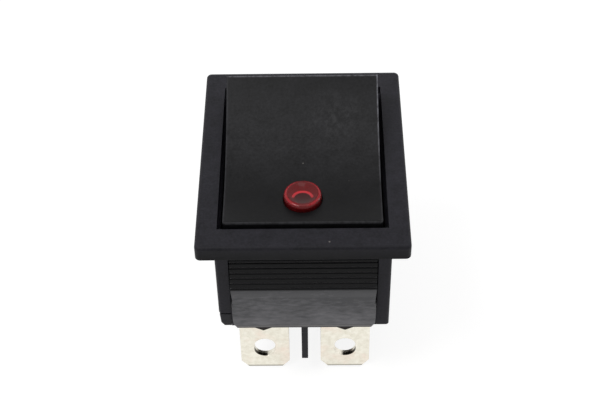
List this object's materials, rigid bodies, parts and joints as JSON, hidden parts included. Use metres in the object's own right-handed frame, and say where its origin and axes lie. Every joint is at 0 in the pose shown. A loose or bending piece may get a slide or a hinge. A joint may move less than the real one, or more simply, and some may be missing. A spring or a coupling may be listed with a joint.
{
  "type": "panel rocker switch",
  "caption": "Black snap-in panel rocker switch with a dished rocker, a round red indicator lens, ribbed snap wings and push-on blade terminals.",
  "frame": {"origin": "centre of the bezel's underside, the face that rests on the panel", "axes": "+Z out of the panel towards the user, +X to the right along the rocker's pivot, +Y away from the end of the rocker that is pressed at rest"},
  "size_m": [0.025, 0.031, 0.0336],
  "materials": {
    "black_housing": "fine-grained black nylon moulding",
    "black_base": "plain black nylon moulding",
    "black_rocker": "smooth satin black moulding",
    "red_lens": "clear red polycarbonate",
    "lamp_glass": "clear blown glass",
    "resistor_ceramic": "coated ceramic body",
    "tinned_wire": "dull tinned copper wire",
    "spring_steel": "drawn spring wire",
    "plunger_brass": "turned brass",
    "lever_copper": "stamped copper alloy strip",
    "contact_silver": "silver alloy contact",
    "plated_terminal": "nickel-plated brass, lightly scratched"
  },
  "bodies": {
    "case": {"housing": "black_housing", "terminal_base": "black_base", "contact_terminal_left": "plated_terminal", "pivot_terminal_left": "plated_terminal", "fixed_contact_left": "contact_silver", "contact_terminal_right": "plated_terminal", "pivot_terminal_right": "plated_terminal", "fixed_contact_right": "contact_silver"},
    "rocker": {"rocker": "black_rocker", "lens": "red_lens", "neon_lamp": "lamp_glass", "lamp_resistor": "resistor_ceramic", "lamp_lead_left": "tinned_wire", "contact_spring_left": "spring_steel", "lamp_lead_right": "tinned_wire", "contact_spring_right": "spring_steel"},
    "left_plunger": {"plunger_left": "plunger_brass"},
    "left_lever": {"contact_lever_left": "lever_copper", "moving_contact_left": "contact_silver"},
    "right_plunger": {"plunger_right": "plunger_brass"},
    "right_lever": {"contact_lever_right": "lever_copper", "moving_contact_right": "contact_silver"}
  },
  "joints": [
    {"name": "rocker_tilt", "type": "hinge", "parent": "case", "child": "rocker", "pos_m": [0, 0, -0.00205], "axis": [1, 0, 0], "range_deg": [-28, 0]},
    {"name": "left_plunger_travel", "type": "slide", "parent": "rocker", "child": "left_plunger", "axis": [0, -0.2419, 0.9703], "range_m": [0, 0.0006], "stiffness_N_per_m": 600, "springref_m": -0.0015, "deforming": ["contact_spring_left"]},
    {"name": "left_lever_tilt", "type": "hinge", "parent": "case", "child": "left_lever", "pos_m": [-0.00517, 0, -0.00904], "axis": [1, 0, 0], "range_deg": [0, 14]},
    {"name": "right_plunger_travel", "type": "slide", "parent": "rocker", "child": "right_plunger", "axis": [0, -0.2419, 0.9703], "range_m": [0, 0.0006], "stiffness_N_per_m": 600, "springref_m": -0.0015, "deforming": ["contact_spring_right"]},
    {"name": "right_lever_tilt", "type": "hinge", "parent": "case", "child": "right_lever", "pos_m": [0.00517, 0, -0.00904], "axis": [1, 0, 0], "range_deg": [0, 14]}
  ],
  "couplings": [
    {"joint": "left_lever_tilt", "follows": "rocker_tilt", "ratio": -0.5},
    {"joint": "right_lever_tilt", "follows": "rocker_tilt", "ratio": -0.5}
  ]
}
